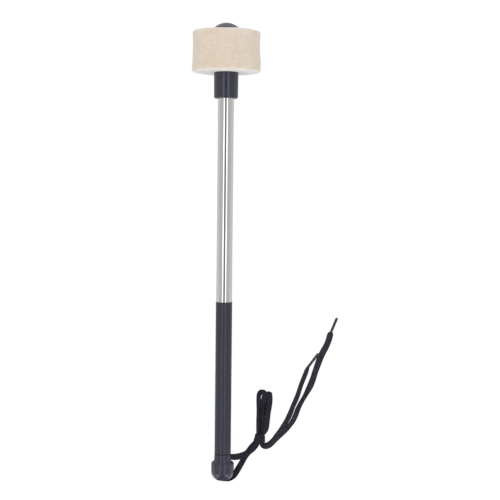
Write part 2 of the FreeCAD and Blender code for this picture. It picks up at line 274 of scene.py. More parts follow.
in_gloss = times(tree, rays.outputs["Is Glossy Ray"], at_ends)
to_lens = rays.outputs["Is Camera Ray"]
strength = maths(tree, "MAXIMUM", times(tree, to_lens, TABLE_GLOW),
                 times(tree, in_gloss, ends))
strength = maths(tree, "MAXIMUM", strength, rays.outputs["Is Transmission Ray"])
glow = add(tree, "ShaderNodeEmission", {"Color": (1, 1, 1, 1), "Strength": strength})
direct = maths(tree, "MAXIMUM", to_lens, rays.outputs["Is Transmission Ray"])
direct = maths(tree, "MAXIMUM", direct, in_gloss)
share = times(tree, direct, TABLE_GLOW_SHARE)
shaded = times(tree, maths(tree, "SUBTRACT", near, in_front), STAND_DIMMING)
dimming = maths(tree, "MAXIMUM", shaded, GLOSS_DIMMING)
share = maths(tree, "MAXIMUM", share,
              times(tree, rays.outputs["Is Glossy Ray"], dimming))
top = add(tree, "ShaderNodeMixShader", {0: share, 1: lit.outputs[0], 2: glow.outputs[0]})
add(tree, "ShaderNodeOutputMaterial", {"Surface": top.outputs[0]})
table_mesh.materials.append(table_finish)
print("table finish has", len(tree.nodes), "nodes")

# %% [markdown]
# Several finishes share one effect: a very fine, slightly uneven grain that breaks up the gloss.
# Moulded plastic, shrunk sleeve and plated steel all have it at their own scale, so it is built
# once as a node group with named sockets and placed in each material with its own values.

# %% Shared group: fine grain
def new_group(name, inputs, outputs):
    """An empty shader group with float or vector sockets."""
    group = bpy.data.node_groups.new(name, "ShaderNodeTree")
    for socket, kind, value in inputs:
        made = group.interface.new_socket(socket, in_out="INPUT", socket_type=kind)
        if value is not None:
            made.default_value = value
    for socket, kind in outputs:
        group.interface.new_socket(socket, in_out="OUTPUT", socket_type=kind)
    return group


CLOUD_SCALE = 0.07

grain = new_group(
    "fine_grain",
    [("Vector", "NodeSocketVector", None), ("Scale", "NodeSocketFloat", 900.0),
     ("Low", "NodeSocketFloat", 0.2), ("High", "NodeSocketFloat", 0.3)],
    [("Level", "NodeSocketFloat"), ("Height", "NodeSocketFloat")])
source = add(grain, "NodeGroupInput")
speckle = noise_level(grain, source.outputs["Vector"], Scale=source.outputs["Scale"],
                      Detail=3.0, Roughness=0.6)
cloud_scale = times(grain, source.outputs["Scale"], CLOUD_SCALE)
cloud = noise_level(grain, source.outputs["Vector"], Scale=cloud_scale, Detail=2.0)
both = maths(grain, "MULTIPLY_ADD", cloud, 0.5, times(grain, speckle, 0.5))
spread = add(grain, "ShaderNodeMapRange",
             {"Value": both, "From Min": 0.35, "From Max": 0.65,
              "To Min": source.outputs["Low"], "To Max": source.outputs["High"]})
add(grain, "NodeGroupOutput",
    {"Level": spread.outputs["Result"], "Height": speckle})
print("group", grain.name, "has", len(grain.nodes), "nodes")


# %% Helpers that make a material
def new_finish(name, **sockets):
    """A material with a plain Principled shader; sockets are set by name, spaces as underlines."""
    finish = bpy.data.materials.new(name)
    finish.use_nodes = True
    shader = finish.node_tree.nodes["Principled BSDF"]
    for socket, value in sockets.items():
        shader.inputs[socket.replace("_", " ")].default_value = value
    return finish, finish.node_tree, shader


def bump(tree, shader, height, strength, distance):
    """A shallow bump on the shader; the height runs from 0 to 1 over the distance in metres."""
    relief = add(tree, "ShaderNodeBump",
                 {"Height": height, "Strength": strength, "Distance": distance})
    tree.links.new(relief.outputs["Normal"], shader.inputs["Normal"])


def place_grain(tree, shader, scale, low, high, depth, stretch=(1, 1, 1)):
    """Grain on the object's own coordinates: drives the roughness and a shallow bump."""
    mapping = add(tree, "ShaderNodeMapping",
                  {"Vector": add(tree, "ShaderNodeTexCoord").outputs["Object"],
                   "Scale": stretch})
    made = add(tree, "ShaderNodeGroup", node_tree=grain)
    tree.links.new(mapping.outputs["Vector"], made.inputs["Vector"])
    for socket, value in (("Scale", scale), ("Low", low), ("High", high)):
        made.inputs[socket].default_value = value
    tree.links.new(made.outputs["Level"], shader.inputs["Roughness"])
    bump(tree, shader, made.outputs["Height"], 1.0, depth)
    return mapping.outputs["Vector"], made


def tinted(tree, shader, level, dark, light):
    """Base colour that runs between two tones."""
    tree.links.new(colour_mix(tree, level, dark, light), shader.inputs["Base Color"])


def colour_mix(tree, share, first, second):
    """A colour between two; each is a triple or another node's output."""
    made = add(tree, "ShaderNodeMix", {"Factor": share}, data_type="RGBA")
    for socket, value in (("A", first), ("B", second)):
        if isinstance(value, tuple):
            made.inputs[socket].default_value = (*value, 1)
        else:
            tree.links.new(value, made.inputs[socket])
    return made.outputs["Result"]


def grained(name, dark, light, scale, low, high, depth, stretch=(1, 1, 1), **sockets):
    """A finish of two tones and one grain, which also sets its roughness from low to high."""
    finish, tree, shader = new_finish(name, **sockets)
    skin = place_grain(tree, shader, scale, low, high, depth, stretch)[1]
    tinted(tree, shader, skin.outputs["Height"], dark, light)
    print("finish", name, "has", len(tree.nodes), "nodes")
    return finish


# %% [markdown]
# Steel tube: polished along its length, so its fine scratches run that way. The scratches are the
# shared grain, squeezed along the stick, and they blur the reflection a little in one direction.

# %% Polished steel
steel = grained("polished_steel", dark=(0.76, 0.76, 0.775), light=(0.83, 0.83, 0.845),
                scale=2600.0, low=0.03, high=0.08, depth=0.0000003, stretch=(1, 0.012, 1),
                Metallic=1.0, Base_Color=(0.80, 0.80, 0.815, 1))

# %% [markdown]
# Collar, cap and pommel are moulded of shiny blue-black plastic with a slight orange-peel skin.
# They share that grain, but each has its own depth of colour and gloss: the collar is darkest. The
# cap is palest because a painted reflection of the pale room behind the head is mixed into its
# colour. The sleeve is a satin film shrunk over the tube.

# %% Dark plastics
MOULDED = {"scale": 700.0, "depth": 0.000012}

ring = grained("collar_plastic", dark=(0.020, 0.022, 0.039), light=(0.028, 0.030, 0.050),
               low=0.19, high=0.27, IOR=1.58, **MOULDED)
# Painted reflection: the cap's paler tones stand in for the pale room behind the head mirrored in
# it.
domed = grained("cap_plastic", dark=(0.060, 0.056, 0.096), light=(0.079, 0.073, 0.122),
                low=0.16, high=0.26, IOR=1.52, **MOULDED)
satin = grained("shrunk_sleeve", dark=(0.023, 0.026, 0.046), light=(0.032, 0.035, 0.058),
                scale=1500.0, low=0.22, high=0.32, depth=0.000005, stretch=(1, 0.25, 1),
                IOR=1.46)

# %% [markdown]
# The stick leans, because it lies on its ball and on the rim of the wider felt. The middle of the
# ball end and the crown of the cap give its axis and its tip, and with them any station along it.

# %% Where the stick lies
BALL_MIDDLE = Vector((0, -0.167366, 0.008697))
BALL_MIDDLE_STATION = 0.0070
CAP_CROWN = Vector((0, 0.174439, 0.027998))

axis = (CAP_CROWN - BALL_MIDDLE).normalized()
tip = BALL_MIDDLE - BALL_MIDDLE_STATION * axis
print("axis", [round(v, 4) for v in axis], "tip", [round(v, 4) for v in tip])

# %% [markdown]
# The pommel has a narrow shadow groove where its neck meets the sleeve. The groove is in the
# solid, and painted shade darkens its floor here, by the distance from its station along the axis.

# %% Pommel plastic with painted shade in its groove
SEAM_STATION = 0.0210974
SEAM_EDGE = (0.0004, 0.0007)
GROOVE_SHADE_COLOUR = (0.004, 0.004, 0.006)

grooved, tree, shader = new_finish("grooved_plastic", IOR=1.48)
vector, skin = place_grain(tree, shader, low=0.16, high=0.26, **MOULDED)
plain = colour_mix(tree, skin.outputs["Height"], (0.029, 0.031, 0.054), (0.038, 0.040, 0.067))
seam_place = tip + SEAM_STATION * axis
offset = add(tree, "ShaderNodeVectorMath", {0: vector, 1: seam_place}, operation="SUBTRACT")
station = add(tree, "ShaderNodeVectorMath", {0: offset.outputs["Vector"], 1: axis},
              operation="DOT_PRODUCT")
away = maths(tree, "ABSOLUTE", station.outputs["Value"])
# Painted shade: the groove floor is darkened within a small distance of its station.
in_groove_shade = maths(tree, "SUBTRACT", 1.0, smooth_step(tree, away, *SEAM_EDGE))
groove_shaded = colour_mix(tree, in_groove_shade, plain, GROOVE_SHADE_COLOUR)
tree.links.new(groove_shaded, shader.inputs["Base Color"])
print("groove at", [round(v, 4) for v in seam_place])

# %% [markdown]
# The tips of the lace are clear film rolled round the dark braid. Slanting bands stand for the
# wound edges of the film, mixed with a little of the shared grain.

# %% Rolled film
BAND_WEIGHT = 0.75
GRAIN_WEIGHT = 0.25

film, tree, shader = new_finish("rolled_film", IOR=1.5)
vector, skin = place_grain(tree, shader, 1800.0, 0.18, 0.34, 0.00001)
winding = add(tree, "ShaderNodeTexWave", {"Vector": vector, "Scale": 150.0, "Distortion": 1.2,
                                          "Detail": 1.0, "Detail Scale": 2.0},
              wave_type="BANDS", bands_direction="DIAGONAL")
wound = maths(tree, "MULTIPLY_ADD", winding.outputs["Fac"], BAND_WEIGHT,
              times(tree, skin.outputs["Height"], GRAIN_WEIGHT))
tinted(tree, shader, wound, (0.004, 0.004, 0.007), (0.058, 0.055, 0.076))

# %% [markdown]
# Washer, screw and bush are hidden in the head. They are still part of the model, so they get
# plain workshop metals: zinc plate, and brass with fine turning marks round the stick.

# %% Hidden metals
METAL_DEPTH = 0.000003

zinc = grained("zinc_plate", dark=(0.55, 0.56, 0.58), light=(0.66, 0.66, 0.67),
               scale=2200.0, low=0.28, high=0.42, depth=METAL_DEPTH, Metallic=1.0)
brass = grained("turned_brass", dark=(0.66, 0.48, 0.22), light=(0.76, 0.58, 0.30),
                scale=1800.0, low=0.20, high=0.32, depth=METAL_DEPTH, stretch=(1, 8, 1),
                Metallic=1.0)

# %% Finishes on the exact solids
FINISHES = {
    "shaft_tube": steel, "grip_sleeve": satin, "pommel": grooved, "collar": ring,
    "dome_cap": domed, "clamp_washer": zinc, "clamp_screw": zinc, "thread_bush": brass,
    "aglet_left": film, "aglet_right": film,
}
for name, finish in FINISHES.items():
    for number in range(len(nodes[name].data.materials)):
        nodes[name].data.materials[number] = finish
print("finished", len(FINISHES), "solids")

# %% [markdown]
# The lace is one flat braid, 4.3 mm wide. It comes out of the pommel twice, at the neck and at
# the ball, and both ends run through one slipped knot, stand out of it as a folded bight, come
# back through the knot and end in a loose tail. A curve with a bevel would make a round cord, so
# each end is a smooth curve that only gives the centre line. Every control point also has a roll,
# in degrees, 0 where the braid lies flat and 90 where it stands on its edge, and a width, 1 where
# it isn't squeezed. The flat strip is then built around the points of that smooth curve.

# %% Routes of the two lace ends: x, y, z in millimetres, roll in degrees, width
MM = 0.001

NECK_END = [
    (5.2, -156.3, 7.6, 0, 0.90), (7.2, -156.7, 6.9, 0, 1.10),
    (11, -157, 4.8, 4, 1.18), (15.1, -156.1, 3.1, 8, 1.10),
    (18.6, -154, 2.7, 34, 0.86), (21.5, -150.5, 2.7, 22, 1.10),
    (24.5, -146.9, 3, 30, 1.02), (26.8, -143.2, 3.3, 55, 0.90),
    (27.1, -138.6, 3.1, 60, 0.95), (26.9, -131.5, 2.3, 60, 1.02),
    (27.2, -122, 2.2, 60, 0.98), (27.1, -114, 2.1, 50, 1.02),
    (27.8, -106.7, 2.2, 32, 1.06), (32.65, -107.2, 2.7, 26, 1.04),
    (31.3, -112, 2.9, 8, 0.94), (29.95, -116.8, 2.8, -25, 0.98),
    (29.8, -122.5, 2.6, -30, 1.00), (29.7, -131.5, 2.6, -34, 1.00),
    (29.3, -138.6, 3.2, -40, 0.95), (28.4, -143, 3.4, 5, 0.90),
    (29.4, -146.2, 3.1, 46, 0.95), (31.8, -148.35, 2.7, 40, 1.00),
    (35.55, -147.7, 2.5, 34, 1.00), (39.45, -144, 2.4, 26, 0.98),
    (42.25, -140.1, 2.2, 18, 0.98), (45, -136.4, 2, 14, 0.96),
    (47.1, -132.6, 1.8, 14, 0.87), (49.7, -128.7, 1.6, 14, 0.94),
    (51.5, -124.8, 1.5, 16, 0.99), (53, -120.9, 1.4, 26, 0.93),
    (54.4, -117, 1.4, 34, 0.94), (56.2, -113.1, 1.5, 36, 1.00),
    (58, -108.4, 1.6, 38, 1.00), (60.3, -100.6, 1.8, 46, 1.00),
    (63.2, -93.4, 1.8, 42, 1.02), (64.9, -88.7, 1.6, 42, 0.90),
    (65.9, -86.5, 1.4, 40, 0.48),
]
BALL_END = [
    (0, -172.2, 7.6, 84, 0.75), (0.1, -174.1, 6.9, 84, 0.78),
    (1.2, -174.8, 5.3, 80, 0.85), (4.7, -175, 3.6, 60, 1.00),
    (8.6, -172.5, 2.2, 30, 1.10), (11.3, -168.2, 1.1, 6, 1.12),
    (13.8, -163.9, 0.8, 0, 1.07), (16.4, -159, 0.8, 0, 1.04),
    (19.4, -154.7, 0.8, 10, 0.93), (23.2, -151.3, 0.9, 6, 1.12),
    (26.4, -147.4, 1.4, 25, 1.04), (28.4, -143.4, 2.6, 54, 0.90),
    (30.7, -138.6, 2.3, 60, 0.95), (32.3, -131, 1.7, 24, 1.04),
    (33.4, -122.5, 1.5, 8, 1.02), (34.3, -117, 1.5, 4, 1.00),
    (34.4, -112.8, 1.3, 2, 1.06), (35.3, -108.45, 0.9, 0, 1.06),
    (35.6, -108.1, 2.7, 0, 1.08), (36.1, -112.6, 2.9, 6, 1.07),
    (35.6, -117.6, 2.9, 8, 1.05), (34.5, -123, 2.9, 10, 1.10),
    (33.8, -130, 2.9, 18, 1.18), (33.5, -136, 3.1, 34, 1.08),
    (31.2, -139.8, 3.2, 60, 0.95), (30, -143, 2.6, 66, 0.90),
    (29.6, -146.9, 1.8, 46, 0.95), (31.7, -149.45, 1.4, 32, 1.00),
    (35.75, -148.95, 1.3, 20, 1.00), (39.95, -144.6, 1.1, 10, 0.98),
    (44.15, -140.4, 1, 4, 0.98), (48.35, -136.7, 0.9, 0, 0.96),
    (52, -132.6, 0.8, 0, 0.87), (54.6, -128.7, 0.8, 0, 0.95),
    (56.3, -124.8, 0.9, 4, 0.99), (57.6, -120.9, 1, 20, 0.97),
    (59.3, -117, 1.2, 36, 0.97), (61.4, -113.1, 1.4, 44, 0.97),
    (63.2, -110, 1.6, 44, 0.98), (65.1, -106.4, 1.2, 28, 1.02),
    (67.5, -101.8, 0.9, 2, 1.18), (69.5, -96.6, 0.9, 0, 1.13),
    (71.1, -91, 0.9, 0, 1.10), (72.8, -86.2, 0.9, 0, 1.15),
    (74.5, -81.2, 0.9, 0, 1.18), (76.8, -75.8, 0.8, 0, 1.22),
    (79.8, -70.6, 0.8, 0, 1.14), (81.5, -65.8, 0.9, 0, 1.13),
    (82.2, -62.9, 1.1, 0, 1.16), (82.8, -61, 1.2, 0, 1.08),
    (83.05, -60.2, 1.3, 0, 0.85), (83.15, -59.8, 1.4, 0, 0.46),
]
print("route points:", len(NECK_END), "and", len(BALL_END))

# %% Smooth centre lines
CURVE_STEPS = 24


def smooth_line(name, points):
    """The points of a smooth curve that these control points pull, as Blender evaluates it."""
    curve = bpy.data.curves.new(name, "CURVE")
    curve.dimensions = "3D"
    curve.resolution_u = CURVE_STEPS
    spline = curve.splines.new("NURBS")
    spline.points.add(len(points) - 1)
    for point, place in zip(spline.points, points):
        point.co = (*place, 1)
    spline.order_u = 3
    spline.use_endpoint_u = True
    holder = bpy.data.objects.new(name, curve)
    mesh = bpy.data.meshes.new_from_object(holder)
    line = np.array([v.co for v in mesh.vertices], float)
    bpy.data.objects.remove(holder)
    bpy.data.curves.remove(curve)
    bpy.data.meshes.remove(mesh)
    return line


def run_length(points):
    """How far each point is from the first one, measured along the line."""
    steps = np.linalg.norm(np.diff(points, axis=0), axis=1)
    return np.concatenate([[0], np.cumsum(steps)])


def even_steps(line, others, step):
    """The line at even distances, with the roll and width that belong to each place."""
    along = run_length(line)
    places = np.linspace(0, along[-1], int(round(along[-1] / step)) + 1)
    columns = [np.interp(places, along, column) for column in np.hstack([line, others]).T]
    return np.array(columns).T, along[-1]


# %% [markdown]
# The strip's section is a flat lens with blunt edges. The braid shows as diamonds where its yarns
# cross, and these are raised in the mesh itself, so that they catch light from any side and go
# with the model wherever it is exported. The strip also carries its own UV map, across and along,
# for the yarn colours.

# %% Section and relief of the braid
LACE_WIDTH = 0.0043
LACE_THICKNESS = 0.00125
AROUND = 32
SECTION_POWER = 2.6
BRAID_RELIEF = 0.00011
YARNS_AROUND = 12
BRAID_PITCH = 0.0016
RING_STEP = 0.00024


def unit(rows):
    """The rows as directions of length one."""
    return rows / np.linalg.norm(rows, axis=1)[:, None]


def facing(points):
    """The direction that each point of a closed outline faces, away from its inside."""
    run = np.roll(points, -1, axis=0) - np.roll(points, 1, axis=0)
    return unit(np.stack([run[:, 1], -run[:, 0]], axis=1))


def oval(angle, power, half_width, half_height):
    """Places on a blunt oval at these angles; a power of 2 is an ellipse, more is blunter."""
    c, s = np.cos(angle), np.sin(angle)
    return (np.sign(c) * np.abs(c) ** (2 / power) * half_width,
            np.sign(s) * np.abs(s) ** (2 / power) * half_height)


def lace_section():
    """Points of the flat section, their outward directions and their distance round it."""
    angle = np.linspace(0, 2 * np.pi, AROUND, endpoint=False)
    points = np.stack(oval(angle, SECTION_POWER, LACE_WIDTH / 2, LACE_THICKNESS / 2), axis=1)
    pieces = np.linalg.norm(np.roll(points, -1, axis=0) - points, axis=1)
    round_it = np.concatenate([[0], np.cumsum(pieces)[:-1]]) / pieces.sum()
    return points, facing(points), round_it


def braid_height(round_it, along):
    """Height of the crossing yarns, from 0 to 1, at a share round the strip and a length along."""
    one = round_it * YARNS_AROUND + along / BRAID_PITCH
    two = round_it * YARNS_AROUND - along / BRAID_PITCH
    return 0.5 + 0.5 * np.sin(np.pi * one) * np.sin(np.pi * two)


# %% Flat braid around a centre line
def flat_braid(name, centres, across, widths, closed=False):
    """A braid strip: ring centres, the direction of its width at each, and its width there."""
    tangent = np.roll(centres, -1, axis=0) - np.roll(centres, 1, axis=0)
    if not closed:
        tangent[0] = centres[1] - centres[0]
        tangent[-1] = centres[-1] - centres[-2]
    tangent = unit(tangent)
    across = unit(across - (across * tangent).sum(1)[:, None] * tangent)
    upward = np.cross(across, tangent)
    along = run_length(centres)
    section, outward, round_it = lace_section()
    lift = BRAID_RELIEF * (braid_height(round_it[None, :], along[:, None]) - 0.5)
    x = section[None, :, 0] * widths[:, None] + outward[None, :, 0] * lift
    y = section[None, :, 1] + outward[None, :, 1] * lift
    rings = (centres[:, None, :] + x[:, :, None] * across[:, None, :]
             + y[:, :, None] * upward[:, None, :])
    count = len(centres)
    vertices = rings.reshape(-1, 3)
    vertices[:, 2] = np.maximum(vertices[:, 2], 0.0)
    last = count if closed else count - 1
    faces = []
    for ring in range(last):
        here, there = ring * AROUND, (ring + 1) % count * AROUND
        for k in range(AROUND):
            j = (k + 1) % AROUND
            faces.append((here + k, there + k, there + j, here + j))
    if not closed:
        vertices = np.concatenate([vertices, centres[:1], centres[-1:]])
        first_pole, last_pole = count * AROUND, count * AROUND + 1
        end = (count - 1) * AROUND
        for k in range(AROUND):
            j = (k + 1) % AROUND
            faces.append((k, j, first_pole))
            faces.append((end + j, end + k, last_pole))
    mesh = bpy.data.meshes.new(name)
    mesh.from_pydata(vertices.tolist(), [], faces)
    perimeter = 2 * (LACE_WIDTH + LACE_THICKNESS)
    total = along[-1]
    layer = mesh.uv_layers.new(name="braid")
    uv = np.zeros((len(mesh.loops), 2))
    cursor = 0
    for face in faces:
        quad = len(face) == 4
        for corner, vertex in enumerate(face):
            ring, k = divmod(vertex, AROUND)
            if vertex < count * AROUND:
                u = round_it[k]
                if quad and corner >= 2 and k == 0:
                    u = 1.0
                v = along[ring]
                if quad and closed and ring == 0 and corner in (1, 2):
                    v = total + np.linalg.norm(centres[0] - centres[-1])
            else:
                u, v = 0.5, (0.0 if vertex == count * AROUND else total)
            uv[cursor] = (u, v / perimeter)
            cursor += 1
    layer.data.foreach_set("uv", uv.ravel())
    mesh.polygons.foreach_set("use_smooth", np.ones(len(mesh.polygons), bool))
    mesh.update()
    return mesh


# %% A helper that makes a finished piece
def new_piece(name, mesh, finish):
    """An object at the origin that holds this mesh, rides with the stick and has its finish."""
    piece = new_object(name, mesh)
    mesh.materials.clear()
    mesh.materials.append(finish)
    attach(piece, "root")
    return piece


# %% [markdown]
# Black braid is never evenly black: raised yarns catch a lavender grey, the valleys between them
# are nearly black, and single filaments sparkle. The material reads the strip's UV map and
# rebuilds the same diamonds that the mesh has, as painted highlights on the raised yarns and
# painted shade in the valleys. It adds fine filament streaks, and a few pale painted glints. The
# loose tails lie flat, turned up to the light, and get a painted sheen that makes them a little
# paler: an attribute on the strip tells where they are.

# %% Braid finish
GLINT_EDGE = (0.60, 0.72)
GLINT_WEIGHT = 0.45
PATCH_EDGE = (0.34, 0.66)
PATCH_DEPTH = 0.85
PATCH_LEAST = 0.2
BRAID_TONES = ((0.004, 0.004, 0.007), (0.038, 0.035, 0.062))
SHEEN_TONES = ((0.009, 0.009, 0.015), (0.056, 0.053, 0.079))

braid, tree, shader = new_finish("black_braid", Roughness=0.70, IOR=1.4, Specular_IOR_Level=0.3)
shader.inputs["Sheen Weight"].default_value = 0.06
shader.inputs["Sheen Roughness"].default_value = 0.5
uv = add(tree, "ShaderNodeUVMap", uv_map="braid")
split = add(tree, "ShaderNodeSeparateXYZ", {0: uv.outputs["UV"]})
turns = times(tree, split.outputs["X"], YARNS_AROUND * math.pi)
climb = times(tree, split.outputs["Y"],
              2 * (LACE_WIDTH + LACE_THICKNESS) / BRAID_PITCH * math.pi)
one = maths(tree, "SINE", maths(tree, "ADD", turns, climb))
two = maths(tree, "SINE", maths(tree, "SUBTRACT", turns, climb))
# Painted highlights on the raised yarns and painted shade in the valleys between them.
diamond = maths(tree, "MULTIPLY_ADD", times(tree, one, two), 0.5, 0.5)
drawn_out = add(tree, "ShaderNodeMapping", {"Vector": uv.outputs["UV"], "Scale": (60, 60, 1)})
filaments = noise_level(tree, drawn_out.outputs[0], Scale=3.0, Detail=4.0, Roughness=0.7)
worn = noise_level(tree, uv.outputs["UV"], Scale=4.2, Detail=3.0, Roughness=0.6)
# Painted glints where single filaments catch the light.
glints = smooth_step(tree, filaments, *GLINT_EDGE)
patchy = maths(tree, "MULTIPLY_ADD", smooth_step(tree, worn, *PATCH_EDGE),
               PATCH_DEPTH, PATCH_LEAST)
raised = times(tree, diamond, patchy)
pale = maths(tree, "MULTIPLY_ADD", glints, GLINT_WEIGHT, raised)
pale = maths(tree, "MINIMUM", pale, 1.0)
plain_yarns = colour_mix(tree, pale, *BRAID_TONES)
sheened_yarns = colour_mix(tree, pale, *SHEEN_TONES)
# Painted sheen on the loose tails, which lie flat and turned up to the light.
tail_sheen = add(tree, "ShaderNodeAttribute", attribute_name="tail_sheen").outputs["Fac"]
tree.links.new(colour_mix(tree, tail_sheen, plain_yarns, sheened_yarns), shader.inputs["Base Color"])
bump(tree, shader, filaments, strength=0.6, distance=0.00008)
print("finish", braid.name, "has", len(tree.nodes), "nodes")

# %% [markdown]
# Each lace end is now built from its route. Roll and width run through a smooth curve of their
# own, the roll in hundreds of degrees, so that they change as gently as the centre line does.

# %% Two lace ends
TAIL_SHEEN_RISE = 0.006
ROLL_SCALE = 100
NECK_TAIL_POINT = 19
BALL_TAIL_POINT = 25


def lace_end(name, route, tail_from):
    """The strip of one lace end, and the centres that it follows; the tail starts at a point."""
    line = smooth_line(name, [[v * MM for v in point[:3]] for point in route])
    other = smooth_line(name, [(point[3] / ROLL_SCALE, point[4], 0) for point in route])[:, :2]
    table_of_places, length = even_steps(line, other, RING_STEP)
    centres = table_of_places[:, :3]
    roll = np.radians(table_of_places[:, 3] * ROLL_SCALE)
    tangent = unit(np.gradient(centres, axis=0))
    flat = tangent * (1, 1, 0)
    level = unit(np.cross(flat, (0, 0, 1)))
    upward = np.cross(level, tangent)
    across = level * np.cos(roll)[:, None] + upward * np.sin(roll)[:, None]
    turned = np.sign((across[1:] * across[:-1]).sum(1))
    across[1:] *= np.cumprod(turned)[:, None]
    mesh = flat_braid(name, centres, across, table_of_places[:, 4])
    away = np.linalg.norm(centres - np.array(route[tail_from][:3]) * MM, axis=1)
    past = (np.arange(len(centres)) - np.argmin(away)) * RING_STEP
    # The painted sheen of the loose tail rises over a few millimetres from its first point.
    tail_sheen = np.repeat(np.clip(past / TAIL_SHEEN_RISE, 0, 1), AROUND)
    layer = mesh.attributes.new("tail_sheen", "FLOAT", "POINT")
    layer.data.foreach_set("value", np.concatenate([tail_sheen, [0, 1]]))
    lowest = min(vertex.co.z for vertex in mesh.vertices)
    print(name, "is", round(length * 1000, 1), "mm long, lowest at", round(lowest * 1000, 2), "mm")
    return mesh, centres, length


neck_mesh, neck_line, neck_length = lace_end("lace_neck_end", NECK_END, NECK_TAIL_POINT)
ball_mesh, ball_line, ball_length = lace_end("lace_ball_end", BALL_END, BALL_TAIL_POINT)
neck_end = new_piece("lace_neck_end", neck_mesh, braid)
ball_end = new_piece("lace_ball_end", ball_mesh, braid)

# %% [markdown]
# The knot. Both strands turn once round the four that they tie, so from above two flat turns lie
# side by side across the bundle, slanting down to the right. Each turn is the same braid strip,
# closed on itself around a blunt oval: two of them, a strand's width apart.

# %% Turns of the knot
KNOT_HALF_HEIGHT = 0.00240
KNOT_MIDDLE_Z = 0.00306
TURN_POWER = 2.2
TURN_WIDTH = 0.94
# Each turn: middle on the table, half its width, how far it is sunk, slant in degrees, pinch
KNOT_TURNS = [((0.0287, -0.1413), 0.00348, 0.0, -14.0, 0.32),
              ((0.0283, -0.1442), 0.00385, 0.00012, -8.0, 0.20)]
TURN_STEPS = 90

turn_meshes = []
for middle, half, sunk, slant, pinch in KNOT_TURNS:
    slant = math.radians(slant)
    front = np.array((math.cos(slant), math.sin(slant), 0))
    side = np.array((-math.sin(slant), math.cos(slant), 0))
    angle = np.linspace(0, 2 * np.pi, TURN_STEPS, endpoint=False)
    reach, climb = oval(angle, TURN_POWER, half, KNOT_HALF_HEIGHT - sunk)
    centres = (np.array((*middle, KNOT_MIDDLE_Z)) + reach[:, None] * front
               + climb[:, None] * np.array((0, 0, 1)))
    widths = TURN_WIDTH - pinch * np.cos(angle) ** 2
    across = np.tile(side, (TURN_STEPS, 1))
    turn_meshes.append(flat_braid("turn", centres, across, widths, closed=True))


def joined(name, meshes):
    """One mesh from several, with their UV maps."""
    holders = [new_object(name, mesh) for mesh in meshes]
    with bpy.context.temp_override(active_object=holders[0], object=holders[0],
                                   selected_objects=holders,
                                   selected_editable_objects=holders):
        bpy.ops.object.join()
    mesh = holders[0].data
    bpy.data.objects.remove(holders[0])
    mesh.name = name
    return mesh


knot = new_piece("knot_turns", joined("knot_turns", turn_meshes), braid)
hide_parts("lace_knot")
print("knot has", len(knot.data.polygons), "faces")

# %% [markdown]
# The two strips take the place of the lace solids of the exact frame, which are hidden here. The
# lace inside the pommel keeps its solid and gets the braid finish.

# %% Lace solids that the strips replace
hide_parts("lace_neck_lead", "lace_bight_left", "lace_tail_left")
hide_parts("lace_end_lead", "lace_bight_right", "lace_tail_right")
nodes["lace_inside"].data.materials[0] = braid

# %% [markdown]
# The felt head is wool felt, pressed hard into a thick disc. Its outline is that of the exact
# solid: a slight waist, the lower rim the widest, rounded edges. A turned sheet of small faces
# follows that outline, and each point is moved in or out a little by layered noise, broad for the
# uneven pressing and fine for the tangled wool.

# %% Felt outline
FELT_START = 0.3123
FELT_HEIGHT = 0.03035
FELT_RIM = 0.0260
FELT_WAIST = 0.0251
FELT_TOP = 0.0255
FELT_WAIST_SHARE = 0.54
FELT_EDGE = 0.0009
LOW_ROUND = 0.0018
TOP_ROUND = 0.0009
FELT_BORE = 0.0033
BORE_SEAM = 0.002
SIDE_SHARES = (0.08, 0.92)
SIDE_POINTS = 24


def arc(centre, radius, from_degrees, to_degrees, steps=8):
    """Points along a rounded edge: radius from the axis and station along it."""
    angles = np.radians(np.linspace(from_degrees, to_degrees, steps))
    return [(centre[0] + radius * math.cos(a), centre[1] + radius * math.sin(a)) for a in angles]


def side_radius(share):
    """Radius of the felt's side at a share of its height: a parabola through rim, waist, top."""
    low, high = FELT_EDGE / FELT_HEIGHT, 1 - FELT_EDGE / FELT_HEIGHT
    waist = FELT_WAIST_SHARE
    return (FELT_RIM * (share - waist) * (share - high) / ((low - waist) * (low - high))
            + FELT_WAIST * (share - low) * (share - high) / ((waist - low) * (waist - high))
            + FELT_TOP * (share - low) * (share - waist) / ((high - low) * (high - waist)))


felt_end = FELT_START + FELT_HEIGHT
outline = [(FELT_BORE, felt_end - BORE_SEAM), (FELT_BORE, FELT_START)]
outline += arc((FELT_RIM - LOW_ROUND, FELT_START + LOW_ROUND), LOW_ROUND, -90, 0)
for share in np.linspace(*SIDE_SHARES, SIDE_POINTS):
    outline.append((side_radius(share), FELT_START + share * FELT_HEIGHT))
outline += arc((FELT_TOP - TOP_ROUND, felt_end - TOP_ROUND), TOP_ROUND, 0, 90)
outline += [(FELT_BORE, felt_end), (FELT_BORE, felt_end - BORE_SEAM)]
outline = np.array(outline)
along = run_length(outline)
print("felt outline", round(float(along[-1]) * 1000, 1), "mm")

# %% Points along the felt's outline, and the direction that each faces
FELT_STEP = 0.00050

stations = np.linspace(0, along[-1], int(along[-1] / FELT_STEP))[:-1]
profile = np.stack([np.interp(stations, along, outline[:, k]) for k in (0, 1)], axis=1)
outward = facing(profile)
print("felt profile has", len(profile), "points")

# %% [markdown]
# The profile is turned round the axis. The relief fades out near the bore, where washer and
# collar clamp the felt, and a soft swelling stands out low on one side, as in the photograph.

# %% Felt surface
FELT_SECTORS = 330
BROAD_RELIEF = 0.00020
BROAD_SCALE = 95
WOOL_RELIEF = 0.00013
WOOL_SCALE = 900
WOOL_FRACTAL = (0.9, 2.1, 3)
HELD_FROM = 0.010
HELD_REACH = 0.003
SWELLING = 0.0006
SWELLING_STATION = 0.0085
SWELLING_REACH = 0.0045
SWELLING_POWER = 4

